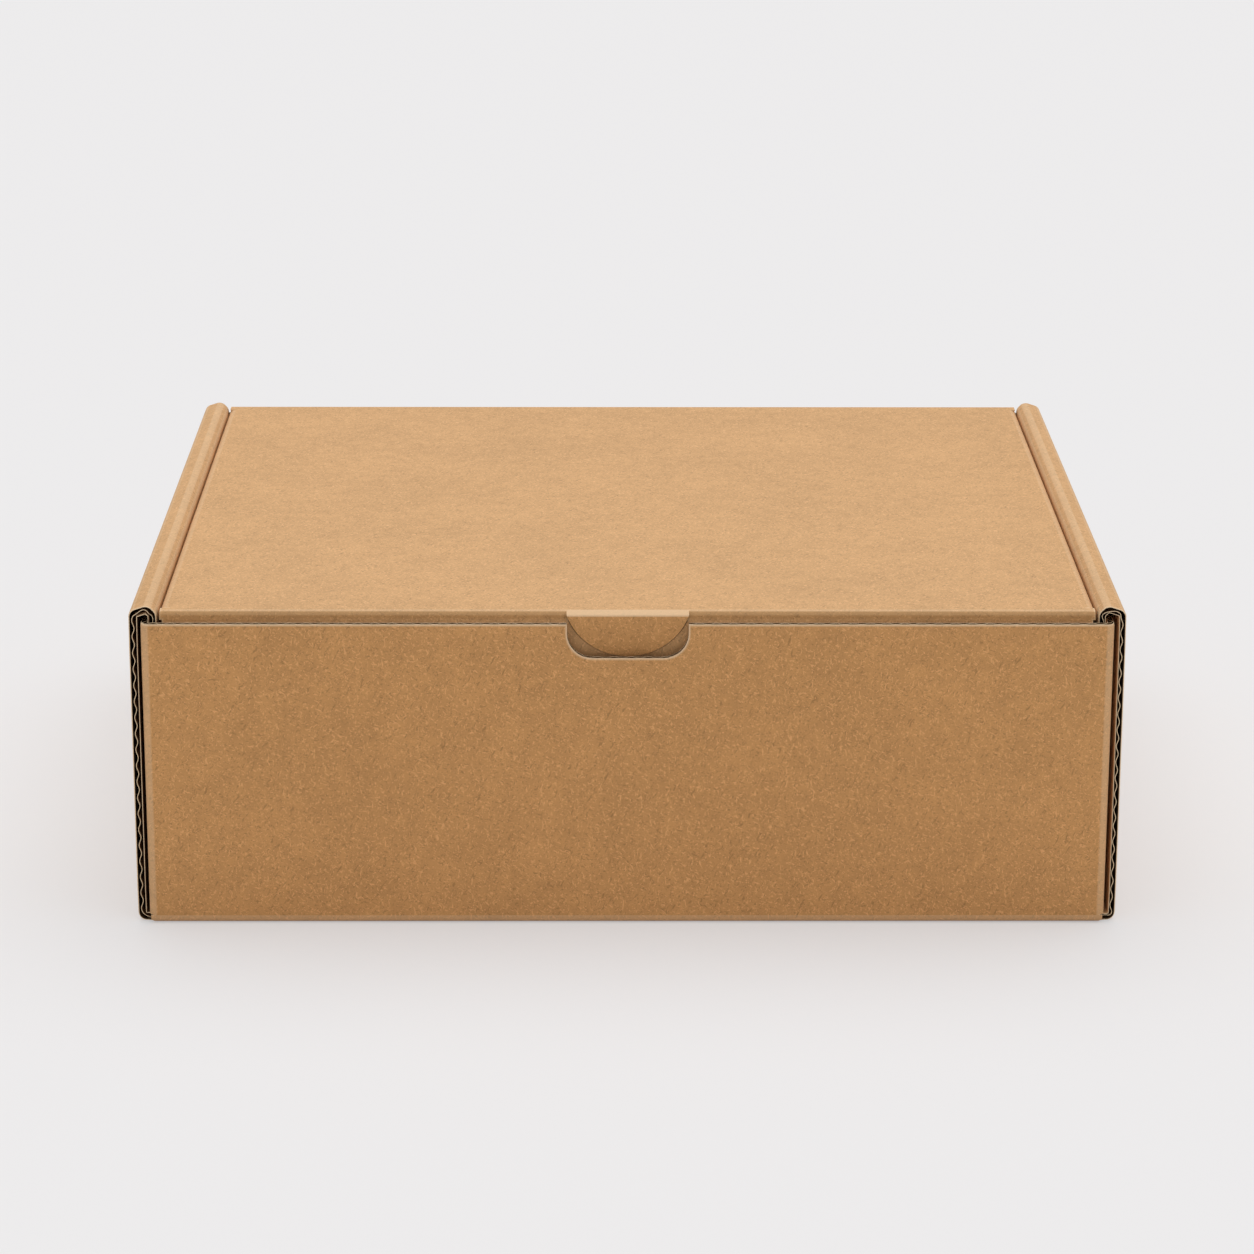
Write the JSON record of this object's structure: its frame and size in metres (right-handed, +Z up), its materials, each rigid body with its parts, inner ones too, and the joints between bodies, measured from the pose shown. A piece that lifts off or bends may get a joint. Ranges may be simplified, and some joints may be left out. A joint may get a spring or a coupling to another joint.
{
  "type": "corrugated shipping box",
  "caption": "Low rectangular shipping box folded from corrugated board, with rolled side walls, a hinged lid with a tuck flap and a finger notch in front.",
  "frame": {"origin": "on the table under the middle of the closed box", "axes": "+X along the width, to the right seen from the front; -Y towards the front wall with the finger notch; +Z up"},
  "size_m": [0.3802, 0.33, 0.1277],
  "materials": {
    "tray_board": "matt brown kraft liner",
    "lid_board": "matt brown kraft liner"
  },
  "bodies": {
    "tray": {"tray": "tray_board"},
    "lid": {"lid": "lid_board"}
  },
  "joints": [
    {"name": "lid_hinge", "type": "hinge", "parent": "tray", "child": "lid", "pos_m": [0, 0.165, 0.1253], "axis": [-1, 0, 0], "range_deg": [0, 180]}
  ]
}
